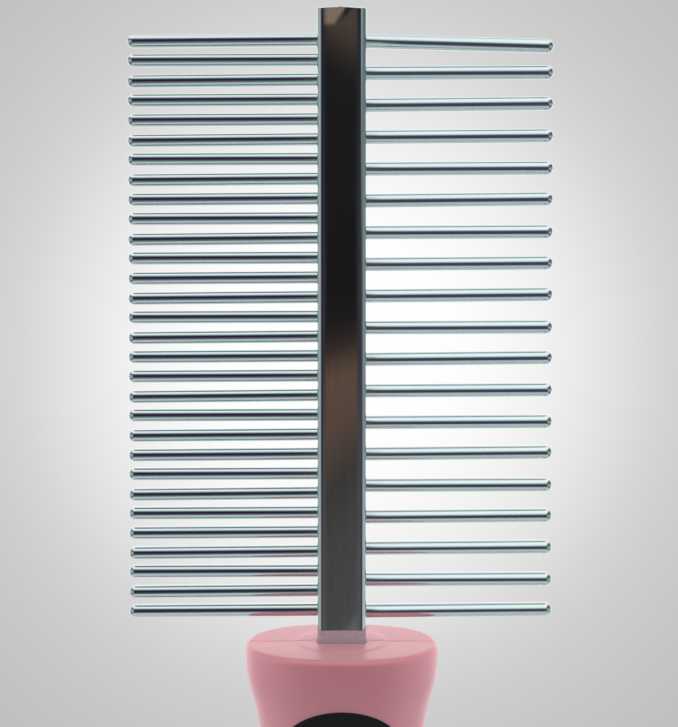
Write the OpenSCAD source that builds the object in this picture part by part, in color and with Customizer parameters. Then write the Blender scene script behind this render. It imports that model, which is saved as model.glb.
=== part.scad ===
// Double-sided steel grooming comb: a chromed spine bar with a fine pin row on one side and a
// coarse pin row on the other, held in a two-shell plastic handle with inlaid rubber grip pads.
// The comb stands on the end of its handle. X runs across the pins (fine row towards -X), Y runs
// from front to back, and Z runs up along the spine. The origin is at the middle of the handle's end.

/* [Pins] */
// Number of pins in the fine row
fine_count = 30; // [20:1:30]
// Number of pins in the coarse row
coarse_count = 19; // [12:1:19]
// Distance between the first and the last pin of a row
row_span = 89.8; // [84:0.1:90]
// Diameter of a fine pin
fine_d = 2; // [1.5:0.1:2]
// Diameter of a coarse pin
coarse_d = 2.15; // [1.8:0.05:2.4]
// How far a fine pin stands out of the spine
fine_reach = 29.8; // [20:0.1:32]
// How far a coarse pin stands out of the spine
coarse_reach = 29.4; // [20:0.1:32]
// Height of the lowest fine pin above the handle
row_lift = 5.1; // [5:0.1:6]
// How much lower the coarse row sits than the fine row
coarse_drop = 0.2; // [0:0.1:1]
// Tilt that both rows share, in degrees
row_lean = 0.42; // [0:0.01:0.6]
// How far single pins stray from the row's tilt, in degrees
pin_scatter = 0.18; // [0:0.01:0.25]
// Tilt of the topmost coarse pin, which was set askew, in degrees
askew_lean = -1.55; // [-2:0.05:0]

/* [Spine] */
// Length of spine that shows above the handle
spine_len = 99.7; // [98:0.1:110]
// Width of the spine, across the pins
spine_w = 7.7; // [7:0.1:9]
// Thickness of the spine, front to back
spine_t = 4.4; // [4.2:0.1:6]
// Radius of the spine's long edges
spine_r = 0.85; // [0.4:0.05:0.9]
// Radius of the slightly domed top end
dome_r = 36; // [20:1:60]
// Length of the tang inside the handle
tang_len = 40; // [36:1:44]

/* [Handle] */
// Length of the handle
handle_len = 100; // [95:1:110]
// Radius round the handle's top lip
lip_r = 1; // [1:0.1:2]
// Radius round the handle's lower end
end_r = 4.5; // [3:0.1:5]
// Squareness of the handle's oval section, where 2 is a true ellipse
oval_power = 2.3; // [2:0.05:3]
// Wall thickness of the handle shells
wall = 2.6; // [2.2:0.1:3]
// Diameter of the round boss where the spine leaves the handle
seat_d = 14.8; // [12:0.1:16]
// Height of that boss
seat_h = 0.15; // [0.1:0.05:1]
// Diameter of the hanging hole
hang_d = 5.5; // [4:0.1:6]

/* [Grip pads] */
// Width of a grip pad, as a share of the handle's width
pad_share = 0.8; // [0.6:0.02:0.82]
// Height of the pads' top edge on the handle
pad_top = 92; // [85:0.5:93]
// Height of the pads' bottom edge on the handle
pad_bottom = 24; // [22:0.5:30]
// Length of the arch at either end of a pad
pad_arch = 10; // [6:0.5:12]
// Thickness of a pad
pad_t = 1.5; // [1:0.1:1.6]
// How far a pad stands proud of the handle
pad_proud = 0.3; // [0.1:0.1:0.6]

/* [Hidden] */
// Names of numbered nodes, with two digits
function numbered(stem, n) = [for (i = [1:n]) str(stem, i < 10 ? "0" : "", i)];
FINE_NODES = numbered("fine_pin_", fine_count);
COARSE_NODES = numbered("coarse_pin_", coarse_count);

chrome = [0.78, 0.80, 0.82];
steel = [0.60, 0.61, 0.62];
pink = [0.90, 0.62, 0.68];
black = [0.07, 0.07, 0.08];
$fn = 48;

// Pins
web = 0.5;
seat_depth = spine_w / 2 - web;
tip_steps = 8;
lead_in = 0.15;
fine_z0 = handle_len + row_lift;
coarse_z0 = fine_z0 - coarse_drop;

// Handle outline: height as a share of the handle's length, half width, half depth
STATIONS = [
    [0.00, 10.9, 8.3],
    [0.12, 12.0, 9.3],
    [0.40, 14.4, 11.3],
    [0.66, 13.6, 10.7],
    [0.83, 12.7, 10.1],
    [0.88, 13.25, 10.4],
    [0.91, 13.85, 10.8],
    [0.94, 14.7, 11.35],
    [0.965, 15.1, 11.75],
    [1.00, 15.25, 12.1]];
arc_steps = 16;
cavity_bottom = 18;
cavity_top = handle_len - 6;
cavity_ramp = 0.8;
rib_t = 1.6;
rib_play = 0.3;
rib_x = spine_w / 2 + rib_play + rib_t / 2;

// Fixings
dowel_d = 3;
dowel_len = 13;
DOWEL_HEIGHTS = [handle_len - 12, handle_len - tang_len + 6];
screw_d = 2.6;
screw_len = 10;
screw_tip = 1.6;
screw_tip_d = 0.8;
screw_head_d = 4.6;
screw_head_h = 2;
screw_head_y = 5.2;
screw_play = 0.4;
drive_w = 0.7;
drive_depth = 1.2;
boss_d = 6.4;
SCREW_HEIGHTS = [28, 48];
hang_z = 9;
gap = 0.05;
pocket_play = 0.1;
cut_over = 3;

// Smooth curve through the stations: Catmull-Rom between the two nearest
function clamped(i) = min(max(i, 0), len(STATIONS) - 1);
function rising(p, q, k) = (q[k] - p[k]) / (q[0] - p[0]);
function slope(i, k) = rising(STATIONS[clamped(i - 1)], STATIONS[clamped(i + 1)], k);
function span_of(s, i = 0) =
    i >= len(STATIONS) - 2 || s < STATIONS[i + 1][0] ? i : span_of(s, i + 1);
function hermite(u, p0, m0, p1, m1) =
    (2 * u * u * u - 3 * u * u + 1) * p0 + (u * u * u - 2 * u * u + u) * m0
    + (3 * u * u - 2 * u * u * u) * p1 + (u * u * u - u * u) * m1;
function curve(s, k, i) =
    let(h = STATIONS[i + 1][0] - STATIONS[i][0])
    hermite((s - STATIONS[i][0]) / h, STATIONS[i][k], slope(i, k) * h,
            STATIONS[i + 1][k], slope(i + 1, k) * h);
function outline(z, k) = curve(z / handle_len, k, span_of(z / handle_len));

// How far the rounded ends pull the section in at a height
function pull(d, r) = d >= r ? 0 : r - sqrt(max(r * r - (r - d) * (r - d), 0));
function end_pull(z) = pull(z, end_r) + pull(handle_len - z, lip_r);
function half_w(z) = outline(z, 1) - end_pull(z);
function half_d(z) = outline(z, 2) - end_pull(z);

// Point of the oval section at an angle, and the oval's depth at a distance from its middle
function powered(v, p) = sign(v) * pow(abs(v), p);
function oval(a, b, t) = [a * powered(cos(t), 2 / oval_power), b * powered(sin(t), 2 / oval_power)];
function depth_at(x, z) =
    half_d(z) * pow(max(1 - pow(abs(x) / half_w(z), oval_power), 0), 1 / oval_power);

// Heights of the loft's rings: close together on the rounded ends
RINGS = concat(
    [for (i = [0:4]) end_r * (1 - cos(i * 22.5))],
    [for (z = [end_r + 3.5:5:cavity_bottom - 2]) z],
    [cavity_bottom, cavity_bottom + cavity_ramp],
    [for (z = [cavity_bottom + 6:6:handle_len - 22]) z],
    [for (z = [handle_len - 18:3:cavity_top - 2]) z],
    [cavity_top - cavity_ramp, cavity_top, handle_len - 4],
    [for (i = [4:-1:0]) handle_len - lip_r * (1 - cos(i * 22.5))]);

function hollow(z) = z > cavity_bottom && z < cavity_top ? 1 : 0;

// One half shell's section at a height: round the outside, then back along the inside
function shell_section(z) =
    let(a = half_w(z), b = half_d(z), ai = max(a - wall, 4), bi = hollow(z) * (b - wall))
    concat(
        [for (i = [0:arc_steps]) let(p = oval(a, b, 180 * i / arc_steps)) [p[0], -p[1], z]],
        [for (i = [arc_steps:-1:0]) let(p = oval(ai, bi, 180 * i / arc_steps)) [p[0], -p[1], z]]);

// Flat end of a tube, as a strip of quads across it. Each is split on the diagonal that leaves
// no triangle along a straight edge.
function cap_quad(i, n) =
    i < n / 4 ? [i + 1, i, n - 1 - i, n - 2 - i] : [i, n - 1 - i, n - 2 - i, i + 1];
function reversed(f) = [f[2], f[1], f[0], f[3]];

// Faces of a tube of rings with n points each
function tube_faces(rings, n) = concat(
    [for (r = [0:rings - 2], i = [0:n - 1])
        [r * n + i, r * n + (i + 1) % n, (r + 1) * n + (i + 1) % n, (r + 1) * n + i]],
    [for (i = [0:n / 2 - 2]) cap_quad(i, n)],
    [for (i = [0:n / 2 - 2]) [for (k = reversed(cap_quad(i, n))) k + (rings - 1) * n]]);

module loft(sections) {
    n = len(sections[0]);
    polyhedron(
        points = [for (s = sections) each s],
        faces = [for (f = tube_faces(len(sections), n)) each [[f[0], f[1], f[2]], [f[0], f[2], f[3]]]]);
}

// Pin: a straight round rod with a full-round tip, from its seat in the spine outwards along +X
module pin(d, reach) {
    r = d / 2;
    tip = [for (i = [0:tip_steps]) let(t = 90 * i / tip_steps) [r * cos(t), reach - r + r * sin(t)]];
    rotate([0, 90, 0])
        rotate_extrude()
            polygon(concat([[0, -seat_depth], [r - lead_in, -seat_depth], [r, lead_in - seat_depth]],
                           tip));
}

// Seats a fine or coarse pin, or the hole for it, on the spine
function scatter(i) = pin_scatter * sin(137.5 * i);
function fine_lean(i) = row_lean + scatter(i);
function coarse_lean(i) = i == coarse_count - 1 ? askew_lean : row_lean + scatter(i + 40);

module at_fine(i) {
    translate([-spine_w / 2, 0, fine_z0 + i * row_span / (fine_count - 1)])
        rotate([0, -fine_lean(i), 0]) mirror([1, 0, 0]) children();
}

module at_coarse(i) {
    translate([spine_w / 2, 0, coarse_z0 + i * row_span / (coarse_count - 1)])
        rotate([0, -coarse_lean(i), 0]) children();
}

module pin_hole(d) {
    translate([-seat_depth, 0, 0]) rotate([0, 90, 0]) cylinder(d = d, h = seat_depth + 1);
}

// Pins are numbered from the top of the comb downwards
module fine_pin(i) {
    color(chrome) at_fine(fine_count - i) pin(fine_d, fine_reach);
}

module coarse_pin(i) {
    color(chrome) at_coarse(coarse_count - i) pin(coarse_d, coarse_reach);
}

// Spine bar: rounded long edges, a blind hole for every pin and two cross holes in the tang
function corner(x, y, r, from) =
    [for (i = [0:6]) let(t = from + 15 * i) [x + r * cos(t), y + r * sin(t)]];

module rounded_bar(w, t, r, z0, h) {
    x = w / 2 - r;
    y = t / 2 - r;
    translate([0, 0, z0])
        linear_extrude(h)
            polygon(concat(corner(x, y, r, 0), corner(-x, y, r, 90),
                           corner(-x, -y, r, 180), corner(x, -y, r, 270)));
}

module above_dome() {
    top = handle_len + spine_len;
    difference() {
        translate([-spine_w, -spine_t, top - 2]) cube([2 * spine_w, 2 * spine_t, 4]);
        translate([0, 0, top - dome_r])
            rotate([90, 0, 0]) cylinder(r = dome_r, h = 3 * spine_t, center = true);
    }
}

module spine_bar() {
    color(chrome)
        difference() {
            rounded_bar(spine_w, spine_t, spine_r, handle_len - tang_len, spine_len + tang_len);
            above_dome();
            for (i = [0:fine_count - 1]) at_fine(i) pin_hole(fine_d);
            for (i = [0:coarse_count - 1]) at_coarse(i) pin_hole(coarse_d);
            dowel_holes(dowel_d);
        }
}

// Dowels: two steel pins across the tang, which carry the pull of the comb into both shells
module dowel_holes(d) {
    for (z = DOWEL_HEIGHTS)
        translate([0, 0, z]) rotate([90, 0, 0]) cylinder(d = d, h = dowel_len + gap, center = true);
}

module tang_dowels() {
    color(steel)
        for (z = DOWEL_HEIGHTS)
            translate([0, 0, z]) rotate([90, 0, 0]) cylinder(d = dowel_d, h = dowel_len, center = true);
}

// Screws: driven from the rear under the grip pad, through the rear shell into the front shell
module at_screws() {
    for (z = SCREW_HEIGHTS) translate([0, screw_head_y, z]) rotate([90, 0, 0]) children();
}

module shell_screws() {
    color(steel)
        at_screws()
            difference() {
                union() {
                    translate([0, 0, -screw_head_h]) cylinder(d = screw_head_d, h = screw_head_h);
                    cylinder(d = screw_d, h = screw_len);
                    translate([0, 0, screw_len])
                        cylinder(d1 = screw_d, d2 = screw_tip_d, h = screw_tip);
                }
                for (turn = [0, 90])
                    rotate([0, 0, turn])
                        translate([0, 0, -screw_head_h])
                            cube([screw_d, drive_w, 2 * drive_depth], center = true);
            }
}

// Rib along the inside of a shell, as deep as the middle of its wall
module rib(x) {
    zs = [for (z = [cavity_bottom:4:cavity_top]) z];
    translate([x - rib_t / 2, 0, 0])
        rotate([90, 0, 90])
            linear_extrude(rib_t)
                polygon(concat([[0, zs[0]]],
                               [for (z = zs) [wall / 2 - depth_at(x, z), z]],
                               [[0, zs[len(zs) - 1]]]));
}

// Front shell blank: the hollow half oval with its ribs and bosses, on the -Y side
module half_shell() {
    loft([for (z = RINGS) shell_section(z)]);
    for (x = [-rib_x, rib_x]) rib(x);
}

module boss(z) {
    translate([0, -half_d(z) + wall / 2, z])
        rotate([-90, 0, 0]) cylinder(d = boss_d, h = half_d(z) - wall / 2);
}

// Half of the low round boss on the handle's top
module seat() {
    translate([0, 0, handle_len - 1]) rotate([0, 0, 180]) rotate_extrude(angle = 180)
        polygon([[0, 0], [seat_d / 2, 0], [seat_d / 2, 1], [seat_d / 2 - seat_h, 1 + seat_h],
                 [0, 1 + seat_h]]);
}

module hang_hole() {
    translate([0, 0, hang_z])
        rotate([90, 0, 0]) cylinder(d = hang_d, h = 4 * half_d(hang_z), center = true);
}

module tang_pocket() {
    rounded_bar(spine_w + 2 * gap, spine_t + 2 * gap, spine_r + gap,
                handle_len - tang_len - gap, tang_len + 2);
}

module shell_blank() {
    difference() {
        union() {
            half_shell();
            seat();
            for (z = SCREW_HEIGHTS) boss(z);
            for (z = DOWEL_HEIGHTS) boss(z);
        }
        tang_pocket();
        dowel_holes(dowel_d);
        hang_hole();
        pad_body(pad_t, cut_over, pocket_play);
    }
}

module front_shell() {
    color(pink)
        difference() {
            shell_blank();
            at_screws() cylinder(d = screw_d, h = screw_len + screw_tip);
        }
}

module rear_shell() {
    color(pink)
        difference() {
            mirror([0, 1, 0]) shell_blank();
            at_screws() cylinder(d = screw_d + screw_play, h = screw_len);
            at_screws()
                translate([0, 0, -wall - cut_over])
                    cylinder(d = screw_head_d + screw_play, h = wall + cut_over);
        }
}

// Grip pad: a long oval that follows the handle's surface
pad_steps = 10;
function pad_half_w(z) =
    let(d = min(z - pad_bottom, pad_top - z), u = max(1 - d / pad_arch, 0))
    pad_share * half_w(z) * sqrt(max(1 - u * u, 0));
PAD_RINGS = concat(
    [for (i = [1:6]) pad_bottom + pad_arch * (1 - cos(15 * i))],
    [for (z = [pad_bottom + pad_arch + 5:5.5:pad_top - pad_arch - 3]) z],
    [for (i = [6:-1:1]) pad_top - pad_arch * (1 - cos(15 * i))]);

function pad_section(z, below, above, grow) =
    let(w = pad_half_w(z) + grow)
    concat(
        [for (i = [0:pad_steps]) let(x = w * (1 - 2 * i / pad_steps)) [x, -depth_at(x, z) - above, z]],
        [for (i = [pad_steps:-1:0]) let(x = w * (1 - 2 * i / pad_steps)) [x, below - depth_at(x, z), z]]);

module pad_body(below, above, grow) {
    loft([for (z = PAD_RINGS) pad_section(z, below, above, grow)]);
}

module front_grip_pad() {
    color(black) pad_body(pad_t, pad_proud, 0);
}

module rear_grip_pad() {
    color(black) mirror([0, 1, 0]) pad_body(pad_t, pad_proud, 0);
}

for (i = [1:fine_count])
    fine_pin(i);
for (i = [1:coarse_count])
    coarse_pin(i);
spine_bar();
tang_dowels();
front_shell();
rear_shell();
front_grip_pad();
rear_grip_pad();
shell_screws();
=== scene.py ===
"""Looks of a double-sided steel grooming comb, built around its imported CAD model.

Shapes are worked out in millimetres, as in the CAD, and scaled to metres when a mesh is made.
The front of the comb faces -Y, its fine pins point to -X, and it stands on its handle's end."""

import math

import bmesh
import bpy
import numpy as np
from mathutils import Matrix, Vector


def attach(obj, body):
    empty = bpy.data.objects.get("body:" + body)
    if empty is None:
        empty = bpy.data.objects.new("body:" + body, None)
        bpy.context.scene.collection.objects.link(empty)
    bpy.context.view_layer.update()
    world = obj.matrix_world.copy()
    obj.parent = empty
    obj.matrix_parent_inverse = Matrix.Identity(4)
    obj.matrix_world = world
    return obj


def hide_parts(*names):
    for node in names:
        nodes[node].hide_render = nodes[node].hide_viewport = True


MM = 0.001
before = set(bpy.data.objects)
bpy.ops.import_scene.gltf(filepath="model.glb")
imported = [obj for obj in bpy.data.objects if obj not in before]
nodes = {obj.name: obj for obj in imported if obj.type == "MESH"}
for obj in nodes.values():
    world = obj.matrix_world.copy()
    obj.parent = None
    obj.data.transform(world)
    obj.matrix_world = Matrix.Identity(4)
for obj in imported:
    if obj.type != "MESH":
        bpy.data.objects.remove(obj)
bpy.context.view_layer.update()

# Dimensions shared with the CAD, in millimetres
HANDLE_LEN = 100
# Each station is a share of the handle's length, with the half width and half depth there
STATIONS = (
    (0.00, 10.9, 8.3),
    (0.12, 12.0, 9.3),
    (0.40, 14.4, 11.3),
    (0.66, 13.6, 10.7),
    (0.83, 12.7, 10.1),
    (0.88, 13.25, 10.4),
    (0.91, 13.85, 10.8),
    (0.94, 14.7, 11.35),
    (0.965, 15.1, 11.75),
    (1.00, 15.25, 12.1),
)
OVAL_POWER = 2.3
LIP_R, END_R, WALL = 1.0, 4.5, 2.6
SEAT_R, SEAT_H = 7.4, 0.15
HANG_R, HANG_Z = 2.75, 9
CAVITY_BOTTOM, CAVITY_TOP = 18, 94
PAD_SHARE, PAD_TOP, PAD_BOTTOM, PAD_ARCH, PAD_PROUD = 0.8, 92, 24, 10, 0.3
BAR_W, BAR_T, BAR_R, DOME_R = 7.7, 4.4, 0.85, 36
BAR_BOTTOM, BAR_TOP = 60, 199.7

# Fine detail that only the looks need, in millimetres
GROOVE_DEEP, GROOVE_WIDE = 0.11, 0.2
SLOT_GAP = 0.03
RECESS_PLAY, RECESS_DEEP = 0.03, 1.2
HOLE_MOUTH, HOLE_MARGIN = 0.7, 5.4
PAD_UNDER, PAD_BRIM, PAD_ROUND = -1.1, -0.05, 0.35
BAR_EDGE = 0.3
PIN_BURIED = 0.5

# How finely the meshes are cut
EDGE_SHARES = (0, 0.003, 0.007, 0.013, 0.021, 0.033)
FINE_TURN = 54
PIN_SIDES = 44


# ---------------------------------------------------------------- camera
def look(eye, pitch_down, lens):
    data = bpy.data.cameras.new("camera")
    data.lens = lens
    data.sensor_width = 36
    data.clip_start, data.clip_end = 0.01, 20
    cam = bpy.data.objects.new("camera", data)
    cam.location = eye
    cam.rotation_euler = (math.radians(90 - pitch_down), 0, 0)
    bpy.context.scene.collection.objects.link(cam)
    bpy.context.scene.camera = cam


look(eye=(-0.00043, -0.1895, 0.14875), pitch_down=1.4, lens=59.42)


# ---------------------------------------------------------------- node helpers
def linear(r, g, b):
    """Display colour, 0 to 255, to scene-linear."""
    c = np.array([r, g, b]) / 255
    return np.where(c <= 0.04045, c / 12.92, ((c + 0.055) / 1.055) ** 2.4)


class Net:
    """Adds nodes to a tree. Inputs are numbers, colours, or sockets to link."""

    def __init__(self, tree):
        self.tree = tree
        tree.nodes.clear()

    def add(self, kind, inputs=(), **settings):
        node = self.tree.nodes.new("ShaderNode" + kind)
        for key, value in settings.items():
            setattr(node, key, value)
        for key, value in dict(inputs).items():
            if isinstance(value, bpy.types.NodeSocket):
                self.tree.links.new(value, node.inputs[key])
            else:
                node.inputs[key].default_value = value
        return node

    def math(self, operation, a, b=0.0):
        return self.add("Math", {0: a, 1: b}, operation=operation).outputs[0]

    def step(self, value, low, high):
        """0 below low, 1 above high, smooth between."""
        node = self.add("MapRange", {0: value, 1: low, 2: high}, interpolation_type="SMOOTHSTEP")
        return node.outputs[0]

    def mix(self, factor, a, b):
        node = self.add("Mix", {0: factor, 6: a, 7: b}, data_type="RGBA")
        return node.outputs[2]

    def ramp(self, factor, stops):
        """Blends evenly through stops of (place, colour)."""
        node = self.add("ValToRGB", {0: factor})
        band = node.color_ramp
        band.interpolation = "LINEAR"
        while len(band.elements) > 1:
            band.elements.remove(band.elements[0])
        band.elements[0].position = stops[0][0]
        band.elements[0].color = (*stops[0][1], 1)
        for place, colour in stops[1:]:
            band.elements.new(place).color = (*colour, 1)
        return node.outputs[0]


# ---------------------------------------------------------------- studio
CHROME = linear(210, 229, 231)


def seen_in_chrome(stops):
    """Ramp stops of the studio by elevation, from how bright each band looks in the chrome.

    Most of the colours below follow averages of the photo's pixels, across its pins and its bar,
    and were then adjusted against renders."""
    return [((el + 90) / 180, linear(*rgb) / CHROME) for el, rgb in stops]


LEFT_BANDS = seen_in_chrome([
    (-90, (152, 167, 166)), (-60, (157, 173, 170)), (-45, (131, 144, 144)),
    (-30, (96, 102, 111)), (-18, (74, 75, 90)), (-5, (41, 35, 59)), (16, (37, 32, 55)),
    (26, (70, 75, 88)), (36, (118, 130, 134)), (46, (182, 198, 198)), (57, (218, 238, 236)),
    (68, (226, 244, 244)), (90, (196, 212, 219))])
RIGHT_BANDS = seen_in_chrome([
    (-90, (162, 180, 181)), (-70, (146, 163, 168)), (-54, (114, 129, 140)),
    (-40, (76, 87, 106)), (-28, (64, 62, 82)), (-8, (60, 57, 76)), (4, (72, 72, 88)),
    (14, (130, 146, 152)), (24, (184, 203, 198)), (34, (218, 239, 231)), (50, (231, 252, 248)),
    (66, (226, 244, 248)), (90, (202, 215, 227))])
NEAR_BANDS = seen_in_chrome([
    (-60, (148, 164, 166)), (-45, (122, 136, 139)), (-30, (94, 100, 104)), (-16, (88, 90, 90)),
    (-12, (80, 79, 79)), (-5, (70, 69, 70)), (-1, (50, 51, 54)), (5, (49, 52, 56)),
    (12, (36, 41, 46)), (18, (31, 38, 44)),
    (26, (80, 90, 98)), (36, (160, 176, 176)), (46, (215, 236, 232)), (68, (228, 246, 246)),
    (90, (198, 214, 222))])
MIDDLE_BANDS = seen_in_chrome([
    (-40, (157, 173, 173)), (-16, (120, 130, 130)), (-14, (72, 71, 72)), (-10, (67, 67, 67)),
    (-7, (58, 57, 55)), (-4, (87, 70, 62)), (-2, (90, 72, 62)), (-0.6, (50, 42, 40)),
    (0.4, (29, 29, 29)), (2, (24, 24, 26)), (12, (28, 28, 29)), (13, (40, 36, 34)),
    (14, (62, 55, 50)), (15, (74, 64, 58)), (18, (46, 42, 58))])
LEFT_SIDE_BANDS = seen_in_chrome([
    (-90, (156, 170, 171)), (-55, (128, 143, 146)), (-34, (78, 90, 98)), (-22, (118, 134, 134)),
    (-15, (148, 167, 164)), (17, (148, 166, 164)), (25, (58, 68, 80)), (34, (84, 98, 106)),
    (43, (206, 222, 222)), (62, (234, 248, 248)), (90, (224, 240, 240))])
RIGHT_SIDE_BANDS = seen_in_chrome([
    (-90, (156, 170, 171)), (-55, (128, 143, 146)), (-34, (78, 90, 98)), (-22, (130, 146, 146)),
    (-14, (172, 192, 190)), (-10, (158, 176, 176)), (-4, (122, 137, 138)), (5, (116, 131, 132)),
    (11, (100, 114, 114)), (17, (88, 104, 109)), (25, (58, 68, 80)), (34, (84, 98, 106)),
    (43, (206, 222, 222)), (62, (234, 248, 248)), (90, (224, 240, 240))])
BACK_BANDS = seen_in_chrome([
    (-90, (150, 162, 166)), (-45, (165, 175, 180)), (-12, (246, 246, 248)),
    (40, (246, 246, 248)), (58, (185, 198, 207)), (75, (184, 197, 206)), (90, (200, 214, 221))])


# Directions are in degrees: azimuth 0 is straight in front of the comb, and negative is to the
# left. A pair of directions is where a soft edge starts and ends.
IN_DEGREES = 180 / math.pi
LEFT_TO_RIGHT = (-1.5, 1.5)
BESIDE_FACE = (1.2, 1.7)
TO_THE_SIDE, TO_THE_BACK = (22, 48), (105, 150)
FACE_LEFT_EDGE, FACE_RIGHT_EDGE = (-0.72, -0.62), (0.92, 0.82)
BOARD_SLANT, BOARD_OFFSET = 0.75, -11.04
BOARD_BOTTOM, GAP_BOTTOM = (14.3, 14.5), (14.3, 15.0)
BOARD_EDGE, GAP_EDGE = (0.05, -0.05), (0.42, 0.22)
# Both colours are taken from the top of the bar in the photo
BOARD_COLOUR, GAP_COLOUR = linear(124, 109, 95) / CHROME, linear(33, 32, 30) / CHROME
POOL_CENTRE, POOL_RADIUS = (0, 1, -0.014), 25
# From the middle of the backdrop's pool of light outwards, after greys measured in the photo
POOL_GREYS = ((0, 255), (0.23, 253), (0.31, 248), (0.38, 242), (0.46, 233), (0.53, 224),
              (0.60, 214), (0.68, 206), (0.78, 199), (0.90, 192), (1, 190))


def ramp_place(net, elevation):
    """Elevation, -90 to 90, as a place on a ramp of bands."""
    return net.math("DIVIDE", net.math("ADD", elevation, 90), 180)


def front_bands(net, azimuth, turn, elevation):
    """What stands in front of the comb, seen in its pins and in the bar's flat face."""
    height = ramp_place(net, elevation)
    side = net.step(azimuth, *LEFT_TO_RIGHT)
    front = net.mix(side, net.ramp(height, LEFT_BANDS), net.ramp(height, RIGHT_BANDS))
    front = net.mix(net.step(turn, *BESIDE_FACE), net.ramp(height, NEAR_BANDS), front)
    in_face = net.math("MULTIPLY", net.step(azimuth, *FACE_LEFT_EDGE),
                       net.step(azimuth, *FACE_RIGHT_EDGE))

    # Bands seen in the bar's face lean a little: one way near its foot, the other near its top
    lean = net.math("ADD", net.step(elevation, -8, -1.5), net.step(elevation, 2, 12))
    lean = net.math("SUBTRACT", net.math("MULTIPLY", lean, 0.9), 1.2)
    leaning = net.math("ADD", elevation, net.math("MULTIPLY", lean, azimuth))
    bands = net.ramp(ramp_place(net, leaning), MIDDLE_BANDS)
    front = net.mix(in_face, front, bands)

    # A pale board high in front, seen at the bar's top, and a dark gap beside its slanting edge
    slant = net.math("ADD", net.math("MULTIPLY", elevation, BOARD_SLANT), BOARD_OFFSET)
    beside = net.math("SUBTRACT", azimuth, slant)
    for bottom, edge, colour in ((GAP_BOTTOM, GAP_EDGE, GAP_COLOUR),
                                 (BOARD_BOTTOM, BOARD_EDGE, BOARD_COLOUR)):
        patch = net.math("MULTIPLY", net.step(elevation, *bottom), net.step(beside, *edge))
        patch = net.math("MULTIPLY", patch, in_face)
        front = net.mix(patch, front, (*colour, 1))
    return front, side, height


def room_colour(net, ray):
    """The studio as the chrome and the plastics see it."""
    parts = net.add("SeparateXYZ", {0: ray}).outputs
    elevation = net.math("MULTIPLY", net.math("ARCSINE", parts["Z"]), IN_DEGREES)
    forward = net.math("MULTIPLY", parts["Y"], -1)
    azimuth = net.math("MULTIPLY", net.math("ARCTAN2", parts["X"], forward), IN_DEGREES)
    turn = net.math("ABSOLUTE", azimuth)
    front, side, height = front_bands(net, azimuth, turn, elevation)
    sides = net.mix(side, net.ramp(height, LEFT_SIDE_BANDS), net.ramp(height, RIGHT_SIDE_BANDS))
    sides = net.mix(net.step(turn, *TO_THE_SIDE), front, sides)
    return net.mix(net.step(turn, *TO_THE_BACK), sides, net.ramp(height, BACK_BANDS))


def backdrop_colour(net, ray):
    """The plain backdrop: a soft pool of light behind the comb."""
    middle = Vector(POOL_CENTRE).normalized()
    facing = net.add("VectorMath", {0: ray, 1: middle}, operation="DOT_PRODUCT").outputs["Value"]
    away = net.math("MULTIPLY", net.math("ARCCOSINE", facing), IN_DEGREES)
    away = net.math("DIVIDE", away, POOL_RADIUS)
    return net.ramp(away, [(place, linear(v, v, v)) for place, v in POOL_GREYS])


def make_world():
    world = bpy.data.worlds.new("studio")
    bpy.context.scene.world = world
    world.use_nodes = True
    net = Net(world.node_tree)
    ray = net.add("TexCoord").outputs["Generated"]
    camera_ray = net.add("LightPath").outputs["Is Camera Ray"]
    colour = net.mix(camera_ray, room_colour(net, ray), backdrop_colour(net, ray))
    surface = net.add("Background", {"Color": colour, "Strength": 1.0}).outputs[0]
    net.add("OutputWorld", {"Surface": surface})


make_world()


def soft_light(name, place, target, size, power, colour=(1, 1, 1)):
    """A soft box that lights the plastics and isn't mirrored in the chrome."""
    data = bpy.data.lights.new(name, "AREA")
    data.shape = "RECTANGLE"
    data.size, data.size_y = size
    data.energy = power
    data.color = colour
    lamp = bpy.data.objects.new(name, data)
    lamp.location = place
    lamp.rotation_euler = (Vector(target) - Vector(place)).to_track_quat("-Z", "Y").to_euler()
    lamp.visible_glossy = False
    lamp.visible_camera = False
    bpy.context.scene.collection.objects.link(lamp)


COOL = (0.58, 1, 0.96)
soft_light("overhead", (0, -0.05, 0.75), (0, 0, 0.1), (0.6, 0.5), 0.5)
soft_light("front_fill", (0, -0.7, 0.7), (0, 0, 0.1), (0.8, 0.6), 0.26)
soft_light("left_fill", (-0.6, -0.09, 0.15), (0, 0, 0.09), (0.4, 0.5), 3.4, COOL)
soft_light("right_fill", (0.6, -0.09, 0.15), (0, 0, 0.09), (0.4, 0.5), 3.4, COOL)


# ---------------------------------------------------------------- materials
def new_material(name):
    mat = bpy.data.materials.new(name)
    mat.use_nodes = True
    return mat, Net(mat.node_tree)


def finish_material(net, shader, bump=None):
    if bump is not None:
        net.tree.links.new(bump, shader.inputs["Normal"])
    net.add("OutputMaterial", {"Surface": shader.outputs[0]})


DRAWN_ACROSS, DRAWN_ALONG = 2200, 60


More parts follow.
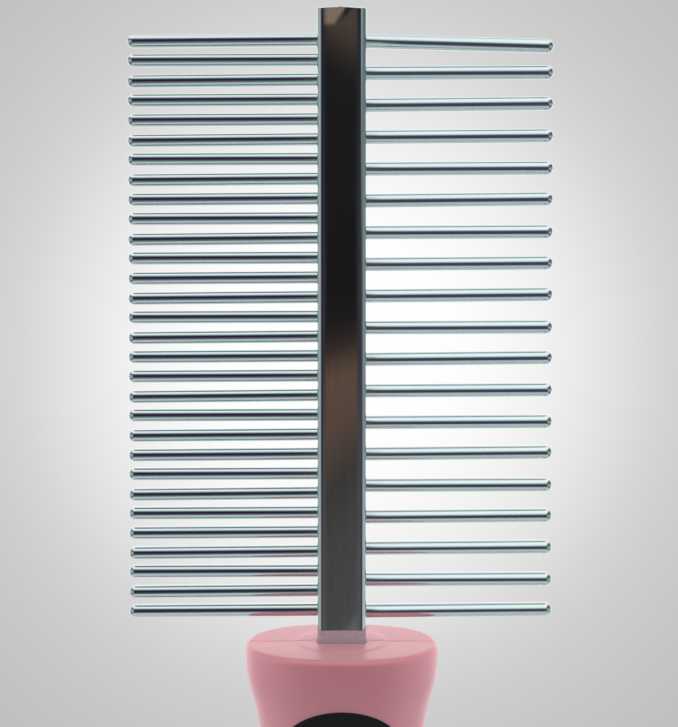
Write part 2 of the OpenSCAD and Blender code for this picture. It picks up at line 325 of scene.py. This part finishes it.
def chrome_material(name, along, rough, relief):
    """Bright plating with faint drawing lines along one axis and a slightly uneven polish."""
    mat, net = new_material(name)
    where = net.add("TexCoord").outputs["Object"]
    squeeze = [DRAWN_ACROSS] * 3
    squeeze[along] = DRAWN_ALONG
    lines = net.add("VectorMath", {0: where, 1: squeeze}, operation="MULTIPLY").outputs[0]
    drawn = net.add("TexNoise", {"Vector": lines, "Scale": 1.0, "Detail": 3}).outputs["Fac"]
    cloud = net.add("TexNoise", {"Vector": where, "Scale": 140, "Detail": 4}).outputs["Fac"]
    polish = net.add("MapRange", {0: cloud, 1: 0.3, 2: 0.7, 3: rough * 0.6, 4: rough * 1.5})
    plating = net.mix(net.step(drawn, 0.3, 0.7), (*CHROME * 0.93, 1), (*CHROME, 1))
    shader = net.add("BsdfPrincipled", {
        "Base Color": plating, "Metallic": 1.0, "Roughness": polish.outputs[0]})
    bump = net.add("Bump", {"Height": drawn, "Strength": relief, "Distance": 0.00004})
    finish_material(net, shader, bump.outputs[0])
    return mat


def steel_material():
    """Plain turned steel."""
    mat, net = new_material("plain_steel")
    where = net.add("TexCoord").outputs["Object"]
    grain = net.add("TexNoise", {"Vector": where, "Scale": 900, "Detail": 3}).outputs["Fac"]
    rough = net.add("MapRange", {0: grain, 1: 0.3, 2: 0.7, 3: 0.28, 4: 0.46}).outputs[0]
    shader = net.add("BsdfPrincipled", {
        "Base Color": (0.42, 0.43, 0.44, 1), "Metallic": 1.0, "Roughness": rough})
    bump = net.add("Bump", {"Height": grain, "Strength": 0.2, "Distance": 0.00003})
    finish_material(net, shader, bump.outputs[0])
    return mat


def plastic_material():
    """Semi-matte moulded plastic with a fine spark-eroded grain and slightly clouded colour."""
    mat, net = new_material("pink_plastic")
    where = net.add("TexCoord").outputs["Object"]
    cloud = net.add("TexNoise", {"Vector": where, "Scale": 55, "Detail": 3}).outputs["Fac"]
    tint = net.mix(net.step(cloud, 0.3, 0.7),
                   (0.635, 0.195, 0.24, 1), (0.67, 0.212, 0.258, 1))
    grain = net.add("TexNoise", {"Vector": where, "Scale": 5200, "Detail": 2}).outputs["Fac"]
    orange = net.add("TexNoise", {"Vector": where, "Scale": 700, "Detail": 2}).outputs["Fac"]
    rough = net.add("MapRange", {0: cloud, 1: 0.3, 2: 0.7, 3: 0.3, 4: 0.38}).outputs[0]
    shader = net.add("BsdfPrincipled", {
        "Base Color": tint, "Roughness": rough, "IOR": 1.5,
        "Sheen Weight": 0.2, "Sheen Roughness": 0.45,
        "Coat Weight": 0.35, "Coat Roughness": 0.6, "Coat IOR": 1.75,
        "Subsurface Weight": 0.25, "Subsurface Radius": (1.0, 0.35, 0.3),
        "Subsurface Scale": 0.0012})
    relief = net.add("Bump", {"Height": orange, "Strength": 0.25, "Distance": 0.00003})
    bump = net.add("Bump", {
        "Height": grain, "Strength": 0.35, "Distance": 0.00001, "Normal": relief.outputs[0]})
    finish_material(net, shader, bump.outputs[0])
    return mat


def rubber_material():
    """Matte black rubber with a fine moulded texture."""
    mat, net = new_material("black_rubber")
    where = net.add("TexCoord").outputs["Object"]
    cloud = net.add("TexNoise", {"Vector": where, "Scale": 180, "Detail": 4}).outputs["Fac"]
    tint = net.mix(cloud, (0.0035, 0.0037, 0.0042, 1), (0.0052, 0.0054, 0.006, 1))
    grain = net.add("TexNoise", {"Vector": where, "Scale": 3600, "Detail": 3}).outputs["Fac"]
    rough = net.add("MapRange", {0: grain, 1: 0.3, 2: 0.7, 3: 0.66, 4: 0.86}).outputs[0]
    shader = net.add("BsdfPrincipled", {
        "Base Color": tint, "Roughness": rough, "Specular IOR Level": 0.35})
    bump = net.add("Bump", {"Height": grain, "Strength": 0.5, "Distance": 0.00003})
    finish_material(net, shader, bump.outputs[0])
    return mat


PIN_CHROME = chrome_material("pin_chrome", along=0, rough=0.06, relief=0.08)
BAR_CHROME = chrome_material("bar_chrome", along=2, rough=0.02, relief=0.006)
STEEL = steel_material()
PINK = plastic_material()
RUBBER = rubber_material()


# ---------------------------------------------------------------- mesh helpers
class Sheet:
    """Points and quads gathered ring by ring, in millimetres."""

    def __init__(self):
        self.points, self.faces = [], []

    def ring(self, points):
        """Adds a row of points and gives back their indices."""
        start = len(self.points)
        self.points.extend(tuple(p) for p in points)
        return list(range(start, len(self.points)))

    def rings(self, rings):
        """Joins each closed ring to the next with quads."""
        for a, b in zip(rings, rings[1:]):
            for i in range(len(a)):
                j = (i + 1) % len(a)
                self.faces.append((a[i], a[j], b[j], b[i]))

    def build(self, name, material, replaced, sharp, fill_flat=False):
        """Makes the visible piece. fill_flat closes its open rim in the parting plane."""
        mesh = bpy.data.meshes.new(name)
        mesh.from_pydata([tuple(c * MM for c in p) for p in self.points], [], self.faces)
        bm = bmesh.new()
        bm.from_mesh(mesh)
        bmesh.ops.remove_doubles(bm, verts=bm.verts, dist=1e-7)
        bmesh.ops.dissolve_degenerate(bm, edges=bm.edges, dist=1e-8)
        if fill_flat:
            rim = [e for e in bm.edges if e.is_boundary]
            bmesh.ops.triangle_fill(bm, edges=rim, use_beauty=True, normal=(0, 1, 0))
        bmesh.ops.recalc_face_normals(bm, faces=bm.faces)
        bm.to_mesh(mesh)
        bm.free()
        mesh.shade_smooth()
        mesh.set_sharp_from_angle(angle=math.radians(sharp))
        mesh.materials.append(material)
        obj = bpy.data.objects.new(name, mesh)
        bpy.context.scene.collection.objects.link(obj)
        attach(obj, "root")
        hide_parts(*replaced)
        return obj


def lerp(a, b, s):
    return a + (b - a) * s


def spread(low, high, count):
    return [lerp(low, high, i / (count - 1)) for i in range(count)]


def quarter_turn(steps):
    return [math.radians(90 * i / steps) for i in range(steps + 1)]


# ---------------------------------------------------------------- handle shape, as in the CAD
def slope(i, k):
    """Slope of the outline at a station."""
    a, b = STATIONS[max(i - 1, 0)], STATIONS[min(i + 1, len(STATIONS) - 1)]
    return (b[k] - a[k]) / (b[0] - a[0])


def outline(z, k):
    """Half width (k = 1) or half depth (k = 2) at a height, smoothly between the stations."""
    s = z / HANDLE_LEN
    i = max(j for j in range(len(STATIONS) - 1) if j == 0 or s >= STATIONS[j][0])
    p, q = STATIONS[i], STATIONS[i + 1]
    h = q[0] - p[0]
    u = (s - p[0]) / h
    return ((2 * u**3 - 3 * u**2 + 1) * p[k] + (u**3 - 2 * u**2 + u) * slope(i, k) * h
            + (3 * u**2 - 2 * u**3) * q[k] + (u**3 - u**2) * slope(i + 1, k) * h)


def pull(d, r):
    """How far a rounding of radius r draws the outline in, at distance d from the end."""
    return 0 if d >= r else r - math.sqrt(max(r * r - (r - d) ** 2, 0))


def half_w(z):
    return outline(z, 1) - pull(z, END_R) - pull(HANDLE_LEN - z, LIP_R)


def half_d(z):
    return outline(z, 2) - pull(z, END_R) - pull(HANDLE_LEN - z, LIP_R)


def depth_at(x, z):
    """Depth of the handle's surface in front of or behind its parting plane."""
    share = min(abs(x) / half_w(z), 1)
    return half_d(z) * (1 - share**OVAL_POWER) ** (1 / OVAL_POWER)


def oval(a, b, t):
    """Point of half a rounded oval that reaches a to each side and b in depth."""
    power = 2 / OVAL_POWER
    c, s = math.cos(t), max(math.sin(t), 0)
    return math.copysign(abs(c) ** power, c) * a, s**power * b


# ---------------------------------------------------------------- handle shells
def column_angles():
    """Angles round half an oval, close together at the parting line."""
    rim = [math.asin(share ** (OVAL_POWER / 2)) for share in EDGE_SHARES]
    side = rim + spread(rim[-1], math.pi / 2, FINE_TURN)[1:]
    return side + [math.pi - t for t in reversed(side[:-1])]


ANGLES = column_angles()
LAST = len(ANGLES) - 1


def groove(depth):
    """Depth of the fine line where the shells meet, near the parting plane."""
    return GROOVE_DEEP * max(1 - depth / GROOVE_WIDE, 0) ** 2


def edged(x, depth, z, nx, nz):
    """Rounds the shell's edge at the parting plane, where the two shells leave a fine line."""
    g = groove(depth)
    return x - math.copysign(nx * g, x), depth, z - nz * g


def slot_point(theta, grow):
    """Where a ray from the middle meets the bar's rounded outline, grown by a gap."""
    hx, hy, r = BAR_W / 2 + grow, BAR_T / 2 + grow, BAR_R + grow
    c, s = abs(math.cos(theta)), math.sin(theta)
    if s * hx <= (hy - r) * c:
        reach = hx / c
    elif c * hy <= (hx - r) * s:
        reach = hy / s
    else:
        along = c * (hx - r) + s * (hy - r)
        across = (hx - r) ** 2 + (hy - r) ** 2 - r * r
        reach = along + math.sqrt(max(along * along - across, 0))
    return math.copysign(c, math.cos(theta)) * reach, s * reach


def oval_row(a, b, z, nx=0.0, nz=0.0):
    """Row of points round half an oval. nx and nz say which way its edge is rounded off."""
    return [edged(*oval(a, b, t), z, nx, nz) for t in ANGLES]


def shell_row(z, nx=0.0, nz=0.0):
    return oval_row(half_w(z), half_d(z), z, nx, nz)


def outside_rows():
    """From the bottom pole up the outside and over the lip."""
    rows = [oval_row(half_w(0) * share, half_d(0) * share, 0, 0, -1 if share else 0)
            for share in (0, 0.25, 0.5, 0.75, 0.92)]
    for phi in quarter_turn(12):
        rows.append(shell_row(END_R * (1 - math.cos(phi)), math.sin(phi), -math.cos(phi)))
    lip_start = HANDLE_LEN - LIP_R
    for z in spread(END_R, lip_start, round(lip_start - END_R))[1:-1]:
        rows.append(shell_row(z, 1, 0))
    for phi in reversed(quarter_turn(12)):
        z = HANDLE_LEN - LIP_R * (1 - math.cos(phi))
        rows.append(shell_row(z, math.sin(phi), math.cos(phi)))
    return rows


def seat_rows(turns, rim):
    """Over the flat top and the low round seat to the bar's slot."""
    rows = []
    foot = SEAT_R + 0.25
    for s in (0.12, 0.25, 0.4, 0.55, 0.7, 0.85):
        rows.append([edged(lerp(x, foot * math.cos(t), s), lerp(y, foot * math.sin(t), s),
                           HANDLE_LEN, 0, 1) for (x, y), t in zip(rim, turns)])
    for grow, share in ((0.25, 0), (0.1, 0.08), (-0.05, 0.25), (-0.25, 0.5), (-0.45, 0.75),
                        (-0.65, 0.92), (-0.9, 1)):
        rows.append([edged((SEAT_R + grow) * math.cos(t), (SEAT_R + grow) * math.sin(t),
                           HANDLE_LEN + SEAT_H * share, 0, 1) for t in turns])
    crown = SEAT_R - 0.9
    for s in (0.25, 0.5, 0.75):
        rows.append([edged(lerp(crown * math.cos(t), slot_point(t, 0.2)[0], s),
                           lerp(crown * math.sin(t), slot_point(t, 0.2)[1], s),
                           HANDLE_LEN + SEAT_H, 0, 1) for t in turns])
    return rows


def slot_rows(turns):
    """Down the bar's slot, from its rounded mouth to the cavity."""
    seat_top = HANDLE_LEN + SEAT_H
    drops = ((0.2, 0), (0.12, 0.01), (0.07, 0.03), (0.04, 0.07), (SLOT_GAP, 0.12),
             (SLOT_GAP, 1.2), (SLOT_GAP, 3.5), (SLOT_GAP, seat_top - CAVITY_TOP))
    return [[(*slot_point(t, grow), seat_top - drop) for t in turns] for grow, drop in drops]


def cavity_rows(turns):
    """Round the inside, from the slot to the pole of the cavity's floor."""
    def inner_row(z, share=1):
        return oval_row((half_w(z) - WALL) * share, (half_d(z) - WALL) * share, z)

    rows = []
    rim = [oval(half_w(CAVITY_TOP) - WALL, half_d(CAVITY_TOP) - WALL, t) for t in ANGLES]
    for s in (0.35, 0.7):
        starts = [slot_point(t, SLOT_GAP) for t in turns]
        rows.append([(lerp(x0, x, s), lerp(y0, y, s), CAVITY_TOP)
                     for (x0, y0), (x, y) in zip(starts, rim)])
    rows += [inner_row(z) for z in spread(CAVITY_TOP, CAVITY_BOTTOM, 26)]
    rows += [inner_row(CAVITY_BOTTOM, share) for share in (0.66, 0.33, 0)]
    return rows


def shell_rows():
    """Rows of a half shell, as (x, depth, z) points."""
    rim = [oval(half_w(HANDLE_LEN), half_d(HANDLE_LEN), t) for t in ANGLES]
    turns = [math.atan2(y, x) for x, y in rim]
    return outside_rows() + seat_rows(turns, rim) + slot_rows(turns) + cavity_rows(turns)


def pad_outline(sx, zc, end, psi, inset):
    """Point of the grip pad's outline, moved inwards. psi turns over the arch on side sx."""
    z = zc + end * (PAD_ARCH - inset) * math.sin(psi)
    return sx * math.cos(psi) * (PAD_SHARE * half_w(z) - inset), z


def on_surface(x, z, rise=0.0):
    """Point of the handle's surface, raised or sunk in depth."""
    return x, depth_at(x, z) + rise, z


def pad_key(x, z, x_edge, z_low, z_high):
    """Where a point outside the pad belongs on its outline."""
    top, bottom = PAD_TOP - PAD_ARCH, PAD_BOTTOM + PAD_ARCH
    sx = math.copysign(1, x) if abs(x) > 1e-9 else 1.0
    if bottom <= z <= top:
        return sx, z, 0, 0.0
    zc, end, far = (top, 1, z_high - top) if z > top else (bottom, -1, bottom - z_low)
    return sx, zc, end, math.atan2(abs(z - zc) / far, abs(x) / x_edge)


def border(grid, r0, r1, c0, c1):
    """Indices round a rectangle of the grid, once round."""
    return ([grid[r0][c] for c in range(c0, c1)] + [grid[r][c1] for r in range(r0, r1)]
            + [grid[r1][c] for c in range(c1, c0, -1)] + [grid[r][c0] for r in range(r1, r0, -1)])


def add_recess(sheet, edge, z_low, z_high):
    """Joins a window in the shell to the grip pad's outline, then sinks its floor."""
    at = [sheet.points[i] for i in edge]
    x_share = abs(at[0][0]) / half_w(at[0][2])
    keys = [pad_key(x / half_w(z), z, x_share, z_low, z_high) for x, _, z in at]
    rings = [edge]
    start = [pad_outline(*key, -RECESS_PLAY - 0.05) for key in keys]
    for s in (0.3, 0.55, 0.75, 0.9, 1.0):
        ring = []
        for (x, _, z), (xo, zo) in zip(at, start):
            p, zz = lerp(x / half_w(z), xo / half_w(zo), s), lerp(z, zo, s)
            ring.append(on_surface(p * half_w(zz), zz))
        rings.append(sheet.ring(ring))
    for inset, rise in ((-RECESS_PLAY - 0.02, -0.006), (-RECESS_PLAY - 0.006, -0.02),
                        (-RECESS_PLAY, -0.05), (-RECESS_PLAY, -0.6), (-RECESS_PLAY, -RECESS_DEEP),
                        (1.0, -RECESS_DEEP), (3.0, -RECESS_DEEP), (5.5, -RECESS_DEEP)):
        rings.append(sheet.ring([on_surface(*pad_outline(*key, inset), rise) for key in keys]))
    rings.append(sheet.ring([on_surface(0, key[1], -RECESS_DEEP) for key in keys]))
    sheet.rings(rings)


def add_hanging_hole(sheet, edge, z_low, z_high):
    """Joins a window in the shell to the hanging hole's rounded mouth, then bores it."""
    at = [sheet.points[i] for i in edge]
    x_edge = abs(at[0][0])
    turn = [math.atan2((z - HANG_Z) / ((z_high if z > HANG_Z else 2 * HANG_Z - z_low) - HANG_Z),
                       x / x_edge) for x, _, z in at]
    wide = HANG_R + HOLE_MOUTH
    rings = [edge]
    for s in (0.25, 0.5, 0.75, 1.0):
        rings.append(sheet.ring([
            on_surface(lerp(x, wide * math.cos(t), s), lerp(z, HANG_Z + wide * math.sin(t), s))
            for (x, _, z), t in zip(at, turn)]))
    for phi in quarter_turn(8)[1:]:
        r, rise = HANG_R + HOLE_MOUTH * (1 - math.sin(phi)), -HOLE_MOUTH * (1 - math.cos(phi))
        rings.append(sheet.ring([
            on_surface(r * math.cos(t), HANG_Z + r * math.sin(t), rise) for t in turn]))
    for share in (0.6, 0.25, 0):
        rings.append(sheet.ring([
            (HANG_R * math.cos(t), share * half_d(HANG_Z), HANG_Z + HANG_R * math.sin(t))
            for t in turn]))
    sheet.rings(rings)


def column_near(angle):
    """The grid column closest to an angle."""
    return min(range(LAST + 1), key=lambda c: abs(ANGLES[c] - angle))


def shell(name, node, facing):
    """facing is -1 for the front shell and 1 for the rear one."""
    sheet = Sheet()
    rows = shell_rows()
    grid = [sheet.ring(row) for row in rows]
    lip = next(i for i, row in enumerate(rows) if row[0][2] > HANDLE_LEN - 2 * LIP_R)
    heights = [row[LAST // 2][2] for row in rows[:lip]]

    def window(low, high, column):
        """Rows and columns of the grid left out between two heights."""
        inside = [i for i, z in enumerate(heights) if low <= z <= high]
        return inside[0], inside[-1], column, LAST - column

    pad_turn = math.acos(PAD_SHARE ** (OVAL_POWER / 2))
    pad_window = window(PAD_BOTTOM - 2, PAD_TOP + 2, column_near(pad_turn - math.radians(4.5)))
    hang_turn = math.acos((HOLE_MARGIN / half_w(HANG_Z)) ** (OVAL_POWER / 2))
    hang_window = window(HANG_Z - HOLE_MARGIN, HANG_Z + HOLE_MARGIN, column_near(hang_turn))
    windows = (pad_window, hang_window)

    for r in range(len(grid) - 1):
        for c in range(LAST):
            if any(r0 <= r < r1 and c0 <= c < c1 for r0, r1, c0, c1 in windows):
                continue
            sheet.faces.append((grid[r][c], grid[r][c + 1], grid[r + 1][c + 1], grid[r + 1][c]))
    for add, (r0, r1, c0, c1) in zip((add_recess, add_hanging_hole), windows):
        add(sheet, border(grid, r0, r1, c0, c1), heights[r0], heights[r1])

    sheet.points = [(x, facing * y, z) for x, y, z in sheet.points]
    return sheet.build(name, PINK, [node], sharp=38, fill_flat=True)


# ---------------------------------------------------------------- grip pads
def pad_keys():
    """Once round the pad's outline: up one side, over the arch, down and under."""
    top, bottom = PAD_TOP - PAD_ARCH, PAD_BOTTOM + PAD_ARCH
    side = spread(bottom, top, 53)
    quarter = spread(0, math.pi / 2, 31)
    keys = [(1, z, 0, 0.0) for z in side]
    keys += [(1, top, 1, psi) for psi in quarter[1:]]
    keys += [(-1, top, 1, psi) for psi in reversed(quarter[:-1])]
    keys += [(-1, z, 0, 0.0) for z in reversed(side[:-1])]
    keys += [(-1, bottom, -1, psi) for psi in quarter[1:]]
    keys += [(1, bottom, -1, psi) for psi in reversed(quarter[1:-1])]
    return keys


def grip_pad(name, node, facing):
    """facing is -1 for the front pad and 1 for the rear one."""
    keys = pad_keys()
    profile = [(2.0, PAD_UNDER), (0.15, PAD_UNDER), (0.0, PAD_UNDER + 0.15), (0.0, PAD_BRIM)]
    for a in quarter_turn(7)[1:]:
        profile.append((PAD_ROUND * (1 - math.cos(a)), lerp(PAD_BRIM, PAD_PROUD, math.sin(a))))
    profile += [(inset, PAD_PROUD) for inset in (0.7, 1.3, 2.2, 3.2, 4.4, 5.6)]
    sheet = Sheet()
    rings = [sheet.ring([on_surface(0, key[1], PAD_UNDER) for key in keys])]
    rings += [sheet.ring([on_surface(*pad_outline(*key, inset), rise) for key in keys])
              for inset, rise in profile]
    inner = [pad_outline(*key, profile[-1][0]) for key in keys]
    for s in (0.4, 0.75, 1.0):
        rings.append(sheet.ring([on_surface(lerp(x, 0, s), lerp(z, key[1], s), PAD_PROUD)
                                 for (x, z), key in zip(inner, keys)]))
    sheet.rings(rings)
    sheet.points = [(x, facing * y, z) for x, y, z in sheet.points]
    return sheet.build(name, RUBBER, [node], sharp=50)


# ---------------------------------------------------------------- bar
def bar_section(inset):
    """Points round the bar's outline, moved inwards."""
    hx, hy, r = BAR_W / 2 - inset, BAR_T / 2 - inset, max(BAR_R - inset, 0.05)
    corner = quarter_turn(18)
    tuck = 0.02
    points = []
    for k, (sx, sy) in enumerate(((1, 1), (-1, 1), (-1, -1), (1, -1))):
        for a in corner:
            turn = a + math.pi / 2 * k
            points.append((sx * (hx - r) + r * math.cos(turn), sy * (hy - r) + r * math.sin(turn)))
        # The flat that follows, with narrow strips beside its ends so that it shades flat
        end = points[-1]
        if k % 2 == 0:
            stops = [(hx - r) - tuck, (hx - r) * 0.33, -(hx - r) * 0.33, -(hx - r) + tuck]
            points += [(sx * s, end[1]) for s in stops]
        else:
            stops = [(hy - r) - tuck, 0, -(hy - r) + tuck]
            points += [(end[0], sy * s) for s in stops]
    return points


def dome(x, drop=0.0):
    """Height of the bar's slightly domed top."""
    return BAR_TOP - DOME_R + math.sqrt(DOME_R**2 - x * x) - drop


def spine_bar():
    sheet = Sheet()
    section = bar_section(0)
    rings = [sheet.ring([(0, 0, BAR_BOTTOM)] * len(section)), sheet.ring(
        [(x, y, BAR_BOTTOM) for x, y in section])]
    for s in spread(0, 1, 36)[1:]:
        rings.append(sheet.ring([
            (x, y, lerp(BAR_BOTTOM, dome(x, BAR_EDGE), s)) for x, y in section]))
    # A ring close below the rounded edge, so that the flat face shades flat
    tuck = 0.01
    rings.insert(-1, sheet.ring([(x, y, dome(x, BAR_EDGE + tuck)) for x, y in section]))
    for a in quarter_turn(8)[1:]:
        inset, drop = BAR_EDGE * (1 - math.cos(a)), BAR_EDGE * (1 - math.sin(a))
        rings.append(sheet.ring([(x, y, dome(x, drop)) for x, y in bar_section(inset)]))
    top = bar_section(BAR_EDGE)
    for s in (0.985, 0.66, 0.33, 0):
        rings.append(sheet.ring([(x * s, y * s, dome(x * s)) for x, y in top]))
    sheet.rings(rings)
    return sheet.build("polished_bar", BAR_CHROME, ["spine_bar"], sharp=35)


# ---------------------------------------------------------------- pins
def pin_axis(node, side):
    """Root, tip and radius of a pin in millimetres, from its CAD mesh. side is -1 for -X."""
    co = np.array([v.co for v in nodes[node].data.vertices]) / MM
    out = co[:, 0] * side
    tip = co[out > out.max() - 0.002].mean(axis=0)
    root = co[out < out.min() + 0.06].mean(axis=0)
    along = (tip - root) / np.linalg.norm(tip - root)
    rel = co - root
    radius = np.linalg.norm(rel - np.outer(rel @ along, along), axis=1).max()
    return root, tip, radius


def pin(node, side):
    """A round-tipped pin that starts just inside the bar."""
    root, tip, radius = pin_axis(node, side)
    along = (tip - root) / np.linalg.norm(tip - root)
    up = np.array([0.0, 0.0, 1.0])
    across = np.cross(along, up)
    across /= np.linalg.norm(across)
    up = np.cross(across, along)
    start = root + along * ((BAR_W / 2 - PIN_BURIED - abs(root[0])) / abs(along[0]))
    length = np.linalg.norm(tip - start)
    stations = [(0, 0), (0, radius)] + [(s, radius) for s in spread(0, length - radius, 5)[1:]]
    for a in quarter_turn(10)[1:]:
        stations.append((length - radius * (1 - math.sin(a)), radius * math.cos(a)))
    sheet = Sheet()
    around = [2 * math.pi * k / PIN_SIDES for k in range(PIN_SIDES)]
    rings = [sheet.ring([start + along * s + across * (r * math.cos(t)) + up * (r * math.sin(t))
                         for t in around]) for s, r in stations]
    sheet.rings(rings)
    return sheet.build("polished_" + node, PIN_CHROME, [node], sharp=50)


shell("moulded_front_shell", "front_shell", -1)
shell("moulded_rear_shell", "rear_shell", 1)
grip_pad("moulded_front_pad", "front_grip_pad", -1)
grip_pad("moulded_rear_pad", "rear_grip_pad", 1)
spine_bar()
for node in sorted(nodes):
    if node.startswith("fine_pin_"):
        pin(node, -1)
    elif node.startswith("coarse_pin_"):
        pin(node, 1)
for node in ("tang_dowels", "shell_screws"):
    nodes[node].data.materials.clear()
    nodes[node].data.materials.append(STEEL)


# ---------------------------------------------------------------- floor
def make_floor():
    """A plain pale floor that fades out before it reaches the backdrop."""
    sheet = bmesh.new()
    bmesh.ops.create_grid(sheet, x_segments=24, y_segments=24, size=0.3)
    mesh = bpy.data.meshes.new("floor")
    sheet.to_mesh(mesh)
    sheet.free()
    floor = bpy.data.objects.new("floor", mesh)
    floor.location.z = -0.0002
    bpy.context.scene.collection.objects.link(floor)
    mat, net = new_material("pale_floor")
    where = net.add("TexCoord").outputs["Object"]
    out = net.add("VectorMath", {0: where}, operation="LENGTH").outputs["Value"]
    paper = net.add("BsdfPrincipled", {"Base Color": (0.55, 0.53, 0.525, 1), "Roughness": 0.9})
    clear = net.add("BsdfTransparent")
    blend = net.add("MixShader", {
        0: net.step(out, 0.11, 0.22), 1: paper.outputs[0], 2: clear.outputs[0]})
    net.add("OutputMaterial", {"Surface": blend.outputs[0]})
    mesh.materials.append(mat)


make_floor()
scene = bpy.context.scene
scene.view_settings.view_transform = "Standard"
